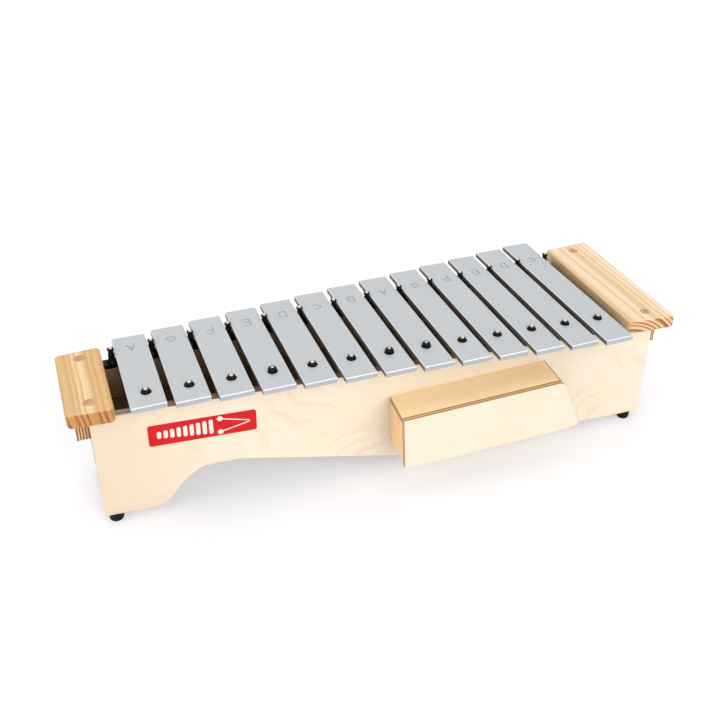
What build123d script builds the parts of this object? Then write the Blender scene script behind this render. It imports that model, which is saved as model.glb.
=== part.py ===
from build123d import *
import math
import os

# Thirteen-note metal bar instrument on a tapered plywood resonator box. Millimetres, +Z up.
# The model is drawn with X = 0 at the outer edge of the shortest bar, Y = 0 on the centre line
# and Z = 0 on the floor, and then moved so that the origin is under the middle of the whole.
# +X runs towards the long bars. The beater holder is on the -Y side.

# ---- bars ----
NOTES = ("a6", "g6", "f6", "e6", "d6", "c6", "b5", "a5", "g5", "f5", "e5", "d5", "c5")
BAR_WIDTH = 30.0
BAR_THICK = 5.0
BAR_PITCH = 36.3
BAR_SHORTEST = 117.5
BAR_LONGEST = 215.5
BAR_EDGE = 0.6
BAR_HOLE_R = 4.75
LETTER_WIDTH = 7.0
LETTER_HEIGHT = 11.0
LETTER_STROKE = 1.2
LETTER_DEPTH = 0.4
LETTER_INSET = 1.5

# ---- resonator box ----
FOOT_HEIGHT = 7.5
PLY = 9.0
PANEL_HEIGHT = 107.5
PANEL_LEFT = -33.5
PANEL_RIGHT = 512.8
HALF_GAP = 38.05
TAPER = 0.0688
FLOOR_PLY = 4.0
FLOOR_DEPTH = 32.0
PANEL_BOTTOM = FOOT_HEIGHT
PANEL_TOP = PANEL_BOTTOM + PANEL_HEIGHT

# Arch under each long panel: a steep side near the small end, a flat crown and a long slope.
ARCH_FOOT = 19.5
ARCH_SHOULDER = 47.2
ARCH_CROWN_END = 88.0
ARCH_END = 257.0
ARCH_HEIGHT = 36.8
ARCH_FOOT_R = 16.0
ARCH_SHOULDER_R = 45.0
ARCH_SLOPE_R = 60.0

# ---- end blocks and grip rails ----
BLOCK_THICK = 15.0
FRONT_OVERHANG = 11.2
REAR_OVERHANG = 8.4
LEFT_BLOCK = (-51.0, -12.0)
RIGHT_BLOCK = (479.0, 531.0)
LEFT_CORNER_R = 4.5
RIGHT_CORNER_R = 2.6
RIGHT_BLOCK_SKEW = 2.4
BLOCK_TOP_R = 1.8
BLOCK_BOTTOM_R = 4.0
RAIL_THICK = 12.0
RAIL_HEIGHT = 27.0
RAIL_SET_BACK = 1.5
LEFT_PLUG = -30.5
RIGHT_REAR_PLUG = 506.4
RIGHT_FRONT_PLUG = 503.6
REAR_PLUG_SHIFT = 1.6
PLUG_R = 5.2
PLUG_DEPTH = 6.0
BLOCK_SCREW_R = 2.0
BLOCK_SCREW_HEAD_R = 4.0
BLOCK_SCREW_LENGTH = 34.0

# ---- pins, rubbers ----
BAR_TOP = PANEL_TOP + BLOCK_THICK
BAR_BOTTOM = BAR_TOP - BAR_THICK
PIN_R = 1.2
PIN_IN_WOOD = 20.0
FRONT_PIN_SET_BACK = 2.0
FRONT_PIN_SHIFT = 0.9
FRONT_TIP_R = 2.15
FRONT_TIP_HEIGHT = 1.4
CAPPED_TIP_R = 1.7
CAPPED_TIP_HEIGHT = 0.4
REAR_TIP_R = 1.75
REAR_TIP_HEIGHT = 1.5
FRONT_COLLAR_R = 4.1
FRONT_COLLAR_HEIGHT = 3.2
FRONT_BASE_R = 5.5
FRONT_FLANGE_R = 6.5
CAPPED_BARS = (3, 6, 7)
CAP_HEIGHT = 4.6
REAR_POST_SHIFT = -3.15
REAR_SHANK_R = 2.2
REAR_COLLAR_R = 2.85
REAR_COLLAR_HEIGHT = 3.4
SLEEVE_BORE_R = PIN_R + 0.05
STRIP_WIDTH = 10.0
STRIP_HEIGHT = 4.2
STRIP_LEFT = -11.0
STRIP_RIGHT = 476.0
PAD_WIDTH = 9.0
PAD_LENGTH = 26.0

# ---- feet ----
FOOT_R = 6.75
FOOT_FLAT_R = 5.2
LEFT_FOOT = -24.7
RIGHT_FOOT = 498.3
FOOT_SCREW_HEAD_R = 2.6
FOOT_SCREW_HEAD_HEIGHT = 1.5
FOOT_SCREW_RECESS = 3.0
FOOT_SCREW_R = 1.5
FOOT_SCREW_IN_WOOD = 14.0

# ---- beater holder on the front panel: tilted so that its open end is the higher one ----
HOLDER_START = 234.0
HOLDER_TOP = 84.5
HOLDER_TILT = 3.8
HOLDER_LENGTH = 161.0
HOLDER_END_START = -0.8
HOLDER_END_LEAN = 0.055
HOLDER_FOOT_END = 177.3
HOLDER_HEIGHT = 51.2
HOLDER_OPEN_HEIGHT = 53.4
HOLDER_DEPTH = 42.2
HOLDER_LEAN = 4.5
HOLDER_PLY = 6.5
HOLDER_UPPER_R = 6.0
HOLDER_LOWER_R = 4.0
HOLDER_END_HEIGHT = 47.8
HOLDER_END_CORNER_R = 8.0

# ---- sticker ----
BADGE_START = 12.0
BADGE_TOP = 97.5
BADGE_LENGTH = 94.5
BADGE_HEIGHT = 22.3
BADGE_THICK = 0.3
BADGE_CORNER_R = 2.5
BADGE_TILT = -0.8

TAPER_ANGLE = math.degrees(math.atan(TAPER))
FRONT = -1
REAR = 1


def half_gap(x):
    """Distance from the centre line to the middle of a long panel."""
    return HALF_GAP + TAPER * x


def panel_plane(side):
    """Plane in the middle of a long panel: x along it, y up, starting where X is 0."""
    angle = math.radians(TAPER_ANGLE)
    along = Vector(math.cos(angle), side * math.sin(angle), 0)
    return Plane((0, side * HALF_GAP, 0), x_dir=along, z_dir=along.cross(Vector(0, 0, 1)))


def along_panel(x):
    """Place along a panel of the point with that X."""
    return x / math.cos(math.radians(TAPER_ANGLE))


def bar_length(index):
    return BAR_SHORTEST + (BAR_LONGEST - BAR_SHORTEST) * index / (len(NOTES) - 1)


def bar_centre(index):
    return BAR_PITCH * index + BAR_WIDTH / 2


def front_pin_place(index):
    """The row runs a little inside the panel's middle, and spreads slightly less than the bars do."""
    x = bar_centre(index) + FRONT_PIN_SHIFT * (1 - index / (len(NOTES) - 1))
    return x, FRONT * (half_gap(x) - FRONT_PIN_SET_BACK)


def front_pin_places():
    return [front_pin_place(i) for i in range(len(NOTES))]


def rear_post_places():
    xs = [BAR_PITCH * i + REAR_POST_SHIFT for i in range(len(NOTES) + 1)]
    return [(x, REAR * half_gap(x)) for x in xs]


def plug_places():
    """The rear plug of the skewed right block sits a little inside its panel's centre line."""
    rear_right = half_gap(RIGHT_REAR_PLUG) - REAR_PLUG_SHIFT
    return {
        "front_left": (LEFT_PLUG, FRONT * half_gap(LEFT_PLUG)),
        "front_right": (RIGHT_FRONT_PLUG, FRONT * half_gap(RIGHT_FRONT_PLUG)),
        "rear_left": (LEFT_PLUG, REAR * half_gap(LEFT_PLUG)),
        "rear_right": (RIGHT_REAR_PLUG, REAR * rear_right),
    }


def corner_places(left_x, right_x):
    """One place on each panel's centre line near both ends, named by where it is."""
    return {
        "front_left": (left_x, FRONT * half_gap(left_x)),
        "front_right": (right_x, FRONT * half_gap(right_x)),
        "rear_left": (left_x, REAR * half_gap(left_x)),
        "rear_right": (right_x, REAR * half_gap(right_x)),
    }


def cylinder(x, y, bottom, top, radius):
    return Pos(x, y, (bottom + top) / 2) * Cylinder(radius, top - bottom)


def turned(profile, x, y):
    """A body of revolution on a vertical axis; profile is a closed face in the XZ plane."""
    return Pos(x, y, 0) * revolve(Plane.XZ * profile, Axis.Z)


def group(solids):
    return Compound(children=list(solids))


# ---- long panels ----
def make_panel(side):
    left = along_panel(PANEL_LEFT)
    right = along_panel(PANEL_RIGHT)
    crown = PANEL_BOTTOM + ARCH_HEIGHT
    points = (
        (left, PANEL_BOTTOM),
        (along_panel(ARCH_FOOT), PANEL_BOTTOM),
        (along_panel(ARCH_SHOULDER), crown),
        (along_panel(ARCH_CROWN_END), crown),
        (along_panel(ARCH_END), PANEL_BOTTOM),
        (right, PANEL_BOTTOM),
        (right, PANEL_TOP),
        (left, PANEL_TOP),
    )
    radii = (0, ARCH_FOOT_R, ARCH_SHOULDER_R, ARCH_SLOPE_R, 0, 0, 0, 0)
    edge = FilletPolyline(*points, radius=radii, close=True)
    panel = extrude(panel_plane(side) * make_face(edge), PLY / 2, both=True)
    pins = front_pin_places() if side == FRONT else rear_post_places()
    for x, y in pins:
        panel -= cylinder(x, y, PANEL_TOP - PIN_IN_WOOD, PANEL_TOP, PIN_R)
    side_name = "front" if side == FRONT else "rear"
    for name, (x, y) in plug_places().items():
        if name.startswith(side_name):
            tip = BAR_TOP - PLUG_DEPTH - BLOCK_SCREW_LENGTH
            panel -= cylinder(x, y, tip, PANEL_TOP, BLOCK_SCREW_R)
    for name, (x, y) in corner_places(LEFT_FOOT, RIGHT_FOOT).items():
        if name.startswith(side_name):
            panel -= cylinder(x, y, PANEL_BOTTOM, PANEL_BOTTOM + FOOT_SCREW_IN_WOOD, FOOT_SCREW_R)
    return panel


def between_panels(x0, x1, bottom, top, gap=0.0):
    """A board that fills the space between the long panels from x0 to x1, less a gap each side."""
    inner = PLY / 2 / math.cos(math.radians(TAPER_ANGLE)) + gap
    y0 = half_gap(x0) - inner
    y1 = half_gap(x1) - inner
    face = make_face(Polyline((x0, -y0), (x1, -y1), (x1, y1), (x0, y0), close=True))
    return extrude(Pos(0, 0, bottom) * face, top - bottom)


def make_end_board(x0, x1):
    return between_panels(x0, x1, PANEL_BOTTOM, PANEL_TOP)


def make_resonator_floor():
    top = PANEL_TOP - FLOOR_DEPTH
    return between_panels(PANEL_LEFT + PLY, PANEL_RIGHT - PLY, top - FLOOR_PLY, top)


def make_grip_rail(x0, x1):
    """Batten outside an end board, up under the end block's overhang."""
    length = 2 * (half_gap((x0 + x1) / 2) - PLY / 2 - RAIL_SET_BACK)
    rail = Box(x1 - x0, length, RAIL_HEIGHT)
    outer = rail.edges().filter_by(Axis.Y).group_by(Axis.Z)[0]
    rail = fillet(outer, 1.5)
    return Pos((x0 + x1) / 2, 0, PANEL_TOP - RAIL_HEIGHT / 2) * rail


# ---- end blocks ----
def make_end_block(x0, x1, side_name, corner_radius, skew=0.0):
    """Block across the box's end; skew is how far its front end is set towards the small end."""
    front = PLY / 2 + FRONT_OVERHANG
    rear = PLY / 2 + REAR_OVERHANG
    corners = (
        (x0 - skew, -half_gap(x0) - front),
        (x1 - skew, -half_gap(x1) - front),
        (x1, half_gap(x1) + rear),
        (x0, half_gap(x0) + rear),
    )
    plan = make_face(FilletPolyline(*corners, radius=corner_radius, close=True))
    block = extrude(Pos(0, 0, PANEL_TOP) * plan, BLOCK_THICK)
    block = fillet(block.edges().group_by(Axis.Z)[-1], BLOCK_TOP_R)
    block = fillet(block.edges().group_by(Axis.Z)[0], BLOCK_BOTTOM_R)
    for name, (x, y) in plug_places().items():
        if name.endswith(side_name):
            block -= cylinder(x, y, BAR_TOP - PLUG_DEPTH - 3.0, BAR_TOP, PLUG_R)
            block -= cylinder(x, y, PANEL_TOP, BAR_TOP, BLOCK_SCREW_R)
    return block


def make_block_screw(x, y):
    head_top = BAR_TOP - PLUG_DEPTH
    tip = head_top - BLOCK_SCREW_LENGTH
    head_low = head_top - 3.0
    profile = make_face(
        Polyline(
            (0, tip),
            (0.4, tip),
            (BLOCK_SCREW_R, tip + 4.0),
            (BLOCK_SCREW_R, head_low),
            (BLOCK_SCREW_HEAD_R, head_low),
            (BLOCK_SCREW_HEAD_R, head_top),
            (0, head_top),
            close=True,
        )
    )
    slot = Pos(x, y, head_top - 0.5) * Box(2 * BLOCK_SCREW_HEAD_R, 1.0, 1.0)
    return turned(profile, x, y) - slot


def make_block_plug(x, y):
    return cylinder(x, y, BAR_TOP - PLUG_DEPTH, BAR_TOP, PLUG_R)


# ---- rubbers and pins ----
def make_rear_rubber_rail():
    """Rubber strip along the rear panel's top edge, with a raised pad under each bar."""
    plane = panel_plane(REAR)
    x0 = along_panel(STRIP_LEFT)
    x1 = along_panel(STRIP_RIGHT)
    middle = (x0 + x1) / 2
    strip = plane * Pos(middle, PANEL_TOP + STRIP_HEIGHT / 2, 0) * Box(x1 - x0, STRIP_HEIGHT, STRIP_WIDTH)
    pad_bottom = PANEL_TOP + STRIP_HEIGHT
    foot = PAD_LENGTH / 2 + 1.5
    flat = PAD_LENGTH / 2
    shoulder = make_face(
        Polyline((-foot, pad_bottom), (foot, pad_bottom), (flat, BAR_BOTTOM), (-flat, BAR_BOTTOM), close=True)
    )
    for index in range(len(NOTES)):
        pad = extrude(plane * Pos(along_panel(bar_centre(index)), 0) * shoulder, PAD_WIDTH / 2, both=True)
        strip += pad
    for x, y in rear_post_places():
        strip -= cylinder(x, y, PANEL_TOP, BAR_BOTTOM, REAR_SHANK_R)
    return strip


def make_rear_sleeve(x, y):
    """Rubber tube round a rear pin: through the strip, flared base, thin shank, flared collar."""
    base = PANEL_TOP + STRIP_HEIGHT
    collar_top = BAR_TOP + REAR_COLLAR_HEIGHT
    outline = (
        (SLEEVE_BORE_R, PANEL_TOP),
        (REAR_SHANK_R, PANEL_TOP),
        (REAR_SHANK_R, base),
        (REAR_SHANK_R + 0.3, base),
        (REAR_SHANK_R, base + 4.0),
        (REAR_SHANK_R, BAR_TOP + 0.8),
        (REAR_COLLAR_R, BAR_TOP + 2.2),
        (REAR_COLLAR_R, collar_top),
        (SLEEVE_BORE_R, collar_top),
    )
    return turned(make_face(Polyline(*outline, close=True)), x, y)


def make_front_sleeve(x, y, capped):
    """Rubber bush under a bar with a neck and a collar that stand up through the bar's hole."""
    low = PANEL_TOP
    flange_low = BAR_BOTTOM - 4.0
    rim = 0.8
    if capped:
        top = BAR_TOP + CAP_HEIGHT
        start = (FRONT_COLLAR_R, BAR_TOP + rim)
        lip = Bezier(start, (FRONT_COLLAR_R, top - rim), (FRONT_COLLAR_R * 0.7, top), (CAPPED_TIP_R, top))
        closing = Polyline((CAPPED_TIP_R, top), (SLEEVE_BORE_R, top), (SLEEVE_BORE_R, low))
    else:
        top = BAR_TOP + FRONT_COLLAR_HEIGHT
        start = (FRONT_COLLAR_R, top - rim)
        lip = RadiusArc(start, (FRONT_COLLAR_R - rim, top), -rim)
        closing = Polyline((FRONT_COLLAR_R - rim, top), (SLEEVE_BORE_R, top), (SLEEVE_BORE_R, low))
    lower = Polyline(
        (SLEEVE_BORE_R, low),
        (FRONT_BASE_R, low),
        (FRONT_BASE_R, flange_low),
        (FRONT_FLANGE_R, flange_low + 2.0),
        (FRONT_FLANGE_R, BAR_BOTTOM),
        (FRONT_COLLAR_R, BAR_BOTTOM),
        start,
    )
    return turned(make_face([lower, lip, closing]), x, y)


def make_pin(x, y, top, tip_radius, tip_height):
    """Steel pin driven into the panel's top edge, with a low domed head on its rubber's collar."""
    shank = cylinder(x, y, PANEL_TOP - PIN_IN_WOOD, top, PIN_R)
    crown = top + tip_height
    edge = top + 0.3 * tip_height
    profile = make_face(
        [
            Polyline((0, crown), (0, top), (tip_radius, top), (tip_radius, edge)),
            Bezier((tip_radius, edge), (tip_radius, crown - 0.1), (tip_radius * 0.6, crown), (0, crown)),
        ]
    )
    return shank + turned(profile, x, y)


# ---- bars ----
def letter_strokes(letter):
    """Single strokes of the letters A to G in a cell one wide and one high, centred on 0."""
    w, h = 0.5, 0.5
    stem = Line((-w, -h), (-w, h))
    top, middle, bottom = (Line((-w, y), (w, y)) for y in (h, 0, -h))
    open_round = ThreePointArc((w, h * 0.55), (-w, 0), (w, -h * 0.55))
    strokes = {
        "a": [
            Line((-w, -h), (0, h)),
            Line((0, h), (w, -h)),
            Line((-w * 0.55, -h * 0.2), (w * 0.55, -h * 0.2)),
        ],
        "b": [
            stem,
            Line((-w, h), (0, h)),
            Line((-w, 0), (0, 0)),
            Line((-w, -h), (0, -h)),
            ThreePointArc((0, h), (w * 0.9, h / 2), (0, 0)),
            ThreePointArc((0, 0), (w, -h / 2), (0, -h)),
        ],
        "c": [open_round],
        "d": [
            stem,
            Line((-w, h), (-w * 0.4, h)),
            Line((-w, -h), (-w * 0.4, -h)),
            ThreePointArc((-w * 0.4, h), (w, 0), (-w * 0.4, -h)),
        ],
        "e": [stem, top, middle, bottom],
        "f": [stem, top, middle],
        "g": [open_round, Line((w, -h * 0.55), (w, 0)), Line((w, 0), (0, 0))],
    }
    return strokes[letter]


def stamped_letter(letter, x, y):
    """Cutter for a note letter that reads from the rear side of the instrument."""
    groove = []
    for stroke in letter_strokes(letter):
        path = Location((x, y, BAR_TOP - LETTER_DEPTH), (0, 0, 180)) * stretch(stroke)
        groove.append(extrude(trace(path, LETTER_STROKE), 2 * LETTER_DEPTH, dir=(0, 0, 1)))
    return groove


def stretch(stroke):
    """A unit-cell stroke at the letter's real width and height."""
    ends = [stroke @ t for t in (0, 0.5, 1)]
    points = [(p.X * LETTER_WIDTH, p.Y * LETTER_HEIGHT) for p in ends]
    if stroke.geom_type == GeomType.LINE:
        return Line(points[0], points[2])
    return ThreePointArc(*points)


def make_bar(index):
    x = bar_centre(index)
    bar = Pos(x, 0, (BAR_TOP + BAR_BOTTOM) / 2) * Box(BAR_WIDTH, bar_length(index), BAR_THICK)
    bar = chamfer(bar.edges().group_by(Axis.Z)[-1], BAR_EDGE)
    bar -= cylinder(*front_pin_place(index), BAR_BOTTOM, BAR_TOP, BAR_HOLE_R)
    for groove in stamped_letter(NOTES[index][0], x, half_gap(x) - LETTER_INSET):
        bar -= groove
    return bar


# ---- beater holder ----
def holder_plane():
    """Tilted plane on the front panel's outer face: x along the holder, y up it, z outward."""
    face = panel_plane(FRONT)
    start = face.from_local_coords((HOLDER_START, HOLDER_TOP, PLY / 2))
    along = Vector(face.x_dir).rotate(Axis(start, face.z_dir), HOLDER_TILT)
    return Plane(start, x_dir=along, z_dir=face.z_dir)


def holder_silhouette():
    """The holder as seen from the front, longer than needed at the closed end, as a prism outwards."""
    points = (
        (-HOLDER_DEPTH, 0),
        (-HOLDER_DEPTH, -HOLDER_HEIGHT),
        (HOLDER_FOOT_END, -HOLDER_OPEN_HEIGHT),
        (HOLDER_LENGTH, 0),
    )
    radii = (0, 0, HOLDER_LOWER_R, HOLDER_UPPER_R)
    edge = FilletPolyline(*points, radius=radii, close=True)
    return extrude(make_face(edge), 2 * HOLDER_DEPTH)


def closed_end_plane(inset):
    """Plane of the closed end, which leans out a little towards the floor, moved inwards by inset."""
    normal = Vector(1, -HOLDER_END_LEAN, 0).normalized()
    return Plane(Vector(HOLDER_END_START, 0, 0) + normal * inset, z_dir=normal)


def holder_depth(y):
    """Distance from the panel to the holder's outer face at a height y below its top."""
    return HOLDER_DEPTH - y * HOLDER_LEAN / HOLDER_HEIGHT


def across_holder(points, x0, x1):
    """A prism along the holder between x0 and x1 whose end view is given as (outward, up)."""
    face = make_face(Polyline(*[(x0, y, z) for z, y in points], close=True))
    return extrude(face, x1 - x0, dir=(1, 0, 0))


def make_holder_boards():
    """The front board laps over the top board's edge; the end board and the floor close the box."""
    ply = HOLDER_PLY
    skin = ply * math.hypot(HOLDER_LEAN, HOLDER_HEIGHT) / HOLDER_HEIGHT
    low = -HOLDER_OPEN_HEIGHT
    end_low = -HOLDER_END_HEIGHT
    outer_end = closed_end_plane(0.0)
    inner_end = closed_end_plane(ply)

    def board(top, bottom, gap, reach):
        """Cross-section from the panel to the front board's back, less a gap, between two heights."""
        points = ((0, top), (holder_depth(top) - gap, top), (holder_depth(bottom) - gap, bottom), (0, bottom))
        return across_holder(points, -HOLDER_DEPTH, reach)

    silhouette = split(holder_silhouette(), bisect_by=outer_end, keep=Keep.TOP)
    front = board(0, low, 0, HOLDER_FOOT_END) - board(0, low, skin, HOLDER_FOOT_END)
    top = board(0, -ply, skin, HOLDER_FOOT_END)
    end = board(-ply, end_low, skin, HOLDER_LENGTH)
    end = split(end, bisect_by=outer_end, keep=Keep.TOP)
    end = split(end, bisect_by=inner_end, keep=Keep.BOTTOM)
    lower_rear = end.edges().sort_by_distance((HOLDER_END_START + ply / 2, end_low, 0))[0]
    end = fillet(lower_rear, HOLDER_END_CORNER_R)
    floor = split(board(end_low + ply, end_low, skin, HOLDER_LENGTH), bisect_by=inner_end, keep=Keep.TOP)
    boards = {"top": top & silhouette, "front": front & silhouette, "end": end, "floor": floor}
    plane = holder_plane()
    return {name: plane * shape for name, shape in boards.items()}


# ---- feet ----
def make_foot(x, y):
    """Rubber dome with a recess below for the head of its screw."""
    profile = make_face(
        [
            Polyline((FOOT_R, FOOT_HEIGHT - 2.0), (FOOT_R, FOOT_HEIGHT), (FOOT_SCREW_R, FOOT_HEIGHT)),
            Polyline(
                (FOOT_SCREW_R, FOOT_HEIGHT),
                (FOOT_SCREW_R, FOOT_SCREW_RECESS),
                (FOOT_SCREW_HEAD_R, FOOT_SCREW_RECESS),
                (FOOT_SCREW_HEAD_R, 0),
                (FOOT_FLAT_R, 0),
            ),
            Bezier((FOOT_FLAT_R, 0), (FOOT_R - 0.3, 0.6), (FOOT_R, 3.0), (FOOT_R, FOOT_HEIGHT - 2.0)),
        ]
    )
    return turned(profile, x, y)


def make_foot_screw(x, y):
    low = FOOT_SCREW_RECESS - FOOT_SCREW_HEAD_HEIGHT
    head = cylinder(x, y, low, FOOT_SCREW_RECESS, FOOT_SCREW_HEAD_R)
    shank = cylinder(x, y, FOOT_SCREW_RECESS, PANEL_BOTTOM + FOOT_SCREW_IN_WOOD, FOOT_SCREW_R)
    return head + shank


def make_badge():
    """Thin sticker on the front panel's outer face."""
    face = panel_plane(FRONT)
    centre = (BADGE_START + BADGE_LENGTH / 2, BADGE_TOP - BADGE_HEIGHT / 2, PLY / 2)
    plate = RectangleRounded(BADGE_LENGTH, BADGE_HEIGHT, BADGE_CORNER_R)
    return face * Pos(*centre) * Rot(0, 0, BADGE_TILT) * extrude(plate, BADGE_THICK)


def make_parts():
    parts = {
        "front_panel": make_panel(FRONT),
        "rear_panel": make_panel(REAR),
        "end_board_left": make_end_board(PANEL_LEFT, PANEL_LEFT + PLY),
        "end_board_right": make_end_board(PANEL_RIGHT - PLY, PANEL_RIGHT),
        "resonator_floor": make_resonator_floor(),
        "grip_rail_left": make_grip_rail(PANEL_LEFT - RAIL_THICK, PANEL_LEFT),
        "grip_rail_right": make_grip_rail(PANEL_RIGHT, PANEL_RIGHT + RAIL_THICK),
        "end_block_left": make_end_block(*LEFT_BLOCK, "left", LEFT_CORNER_R),
        "end_block_right": make_end_block(*RIGHT_BLOCK, "right", RIGHT_CORNER_R, RIGHT_BLOCK_SKEW),
        "rear_rubber_rail": make_rear_rubber_rail(),
        "badge": make_badge(),
    }
    screw_places = plug_places().values()
    parts["block_screws"] = group(make_block_screw(x, y) for x, y in screw_places)
    parts["block_plugs"] = group(make_block_plug(x, y) for x, y in screw_places)
    rear = rear_post_places()
    parts["rear_sleeves"] = group(make_rear_sleeve(x, y) for x, y in rear)
    rear_top = BAR_TOP + REAR_COLLAR_HEIGHT
    parts["rear_pins"] = group(make_pin(x, y, rear_top, REAR_TIP_R, REAR_TIP_HEIGHT) for x, y in rear)
    front_sleeves = []
    front_pins = []
    for index, (x, y) in enumerate(front_pin_places()):
        capped = index in CAPPED_BARS
        front_sleeves.append(make_front_sleeve(x, y, capped))
        if capped:
            pin = make_pin(x, y, BAR_TOP + CAP_HEIGHT, CAPPED_TIP_R, CAPPED_TIP_HEIGHT)
        else:
            pin = make_pin(x, y, BAR_TOP + FRONT_COLLAR_HEIGHT, FRONT_TIP_R, FRONT_TIP_HEIGHT)
        front_pins.append(pin)
    parts["front_sleeves"] = group(front_sleeves)
    parts["front_pins"] = group(front_pins)
    for index, note in enumerate(NOTES):
        parts[f"bar_{index + 1:02d}_{note}"] = make_bar(index)
    for name, board in make_holder_boards().items():
        parts[f"beater_holder_{name}"] = board
    feet = corner_places(LEFT_FOOT, RIGHT_FOOT)
    for name, (x, y) in feet.items():
        parts[f"foot_{name}"] = make_foot(x, y)
    parts["foot_screws"] = group(make_foot_screw(x, y) for x, y in feet.values())
    return parts


def to_origin(parts):
    """The move that puts the origin under the middle of the whole object."""
    box = Compound(children=[Compound(part.solids()) for part in parts.values()]).bounding_box()
    return Pos(-(box.min.X + box.max.X) / 2, -(box.min.Y + box.max.Y) / 2, 0)


def main():
    os.makedirs("parts", exist_ok=True)
    parts = make_parts()
    move = to_origin(parts)
    for name, part in parts.items():
        export_step(move * Compound(part.solids()), f"parts/{name}.step")
    print("moved by", move.position)


main()
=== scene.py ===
import math

import bmesh
import bpy
from mathutils import Matrix, Vector


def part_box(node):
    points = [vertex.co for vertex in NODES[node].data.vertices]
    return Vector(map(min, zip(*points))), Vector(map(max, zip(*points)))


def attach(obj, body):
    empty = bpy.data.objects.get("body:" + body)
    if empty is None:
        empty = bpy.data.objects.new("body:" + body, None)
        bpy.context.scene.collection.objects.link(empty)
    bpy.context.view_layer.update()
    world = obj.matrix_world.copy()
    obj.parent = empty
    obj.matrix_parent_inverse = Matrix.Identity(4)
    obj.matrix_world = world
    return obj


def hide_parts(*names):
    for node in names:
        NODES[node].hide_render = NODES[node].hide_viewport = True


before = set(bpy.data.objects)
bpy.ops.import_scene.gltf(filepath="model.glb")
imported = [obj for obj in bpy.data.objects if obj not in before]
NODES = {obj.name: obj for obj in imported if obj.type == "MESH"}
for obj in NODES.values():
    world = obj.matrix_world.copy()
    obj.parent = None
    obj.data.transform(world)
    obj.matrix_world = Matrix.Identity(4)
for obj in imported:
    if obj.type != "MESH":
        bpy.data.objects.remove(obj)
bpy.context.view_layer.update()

MM = 0.001
BODY = "instrument"
BARS = sorted(n for n in NODES if n.startswith("bar_"))
X_AXIS = Vector((1, 0, 0))
Y_AXIS = Vector((0, 1, 0))
UP = Vector((0, 0, 1))

# ---- beater holder: it climbs along the panel, and its front board and closed end both lean ----
HOLDER_TILT = math.radians(3.8)
HOLDER_LEAN = math.atan(4.5 / 51.2)
HOLDER_END_LEAN = 0.055

# ---- widest radius of the CAD's pins, and the bars with a rubber dome, counted from 0 at the small end ----
FRONT_TIP_R = 2.15 * MM
REAR_TIP_R = 1.75 * MM
CAPPED = (3, 6, 7)

# ---- sticker's picture, in mm: a row of bars that grow to the right, then a pair of beaters ----
BADGE_TILT = math.radians(-0.8)
PRINT_THICK = 0.05
PRINTED_BARS = 9
PRINTED_FIRST_X = -38.0
PRINTED_STEP = 5.6
PRINTED_WIDTH = 3.6
PRINTED_SHORTEST = 7.5
PRINTED_GROWTH = 1.0
STICK_X = 28.0
STICK_Y = 3.9
STICK_TURN = math.radians(14)
STICK_LENGTH = 27.0
STICK_WIDTH = 1.1
STICK_HEAD = 5.2
STICK_HEAD_THICK = 1.4 * PRINT_THICK

# ---- boards ----
BOARD_ROUNDING = 0.5 * MM
WELD_REACH = 0.01 * MM

# ---- camera ----
CAMERA_PLACE = (-0.28051, -0.72040, 0.59959)
CAMERA_AZIMUTH = math.radians(25.12)
CAMERA_DOWN = math.radians(31.10)
CAMERA_ROLL = math.radians(2.456)
CAMERA_LENS = 46.66
CAMERA_SHIFT = (-0.0992, -0.0495)


# ---------------------------------------------------------------- places, read from the frame
def span(node, axis):
    """Lowest and highest reach of a CAD node along a direction."""
    reach = [v.co.dot(axis) for v in NODES[node].data.vertices]
    return min(reach), max(reach)


def row_of_places(first, last, count):
    return [first.lerp(last, i / (count - 1)) for i in range(count)]


def front_pin_places():
    low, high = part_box("front_pins")
    first = Vector((low.x + FRONT_TIP_R, high.y - FRONT_TIP_R, 0))
    last = Vector((high.x - FRONT_TIP_R, low.y + FRONT_TIP_R, 0))
    return row_of_places(first, last, len(BARS))


def rear_pin_places():
    low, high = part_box("rear_pins")
    first = Vector((low.x + REAR_TIP_R, low.y + REAR_TIP_R, 0))
    last = Vector((high.x - REAR_TIP_R, high.y - REAR_TIP_R, 0))
    return row_of_places(first, last, len(BARS) + 1)


FRONT_PINS = front_pin_places()
REAR_PINS = rear_pin_places()
BAR_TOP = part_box(BARS[0])[1].z

FRONT_ALONG = (FRONT_PINS[-1] - FRONT_PINS[0]).normalized()
FRONT_OUT = FRONT_ALONG.cross(UP)
REAR_ALONG = (REAR_PINS[-1] - REAR_PINS[0]).normalized()
REAR_OUT = -REAR_ALONG.cross(UP)
HOLDER_ALONG = FRONT_ALONG * math.cos(HOLDER_TILT) + UP * math.sin(HOLDER_TILT)
HOLDER_UP = UP * math.cos(HOLDER_TILT) - FRONT_ALONG * math.sin(HOLDER_TILT)
HOLDER_FACE = FRONT_OUT * math.cos(HOLDER_LEAN) + HOLDER_UP * math.sin(HOLDER_LEAN)
HOLDER_END = (HOLDER_ALONG - HOLDER_UP * HOLDER_END_LEAN).normalized()


# ---------------------------------------------------------------- shader building
SOCKETS = {
    "metallic": "Metallic",
    "specular": "Specular IOR Level",
    "coat": "Coat Weight",
    "coat_roughness": "Coat Roughness",
    "glow_colour": "Emission Color",
    "glow": "Emission Strength",
}


def with_alpha(value):
    """A colour tuple as a socket wants it; anything else unchanged."""
    return (*value, 1.0) if isinstance(value, tuple) and len(value) == 3 else value


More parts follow.
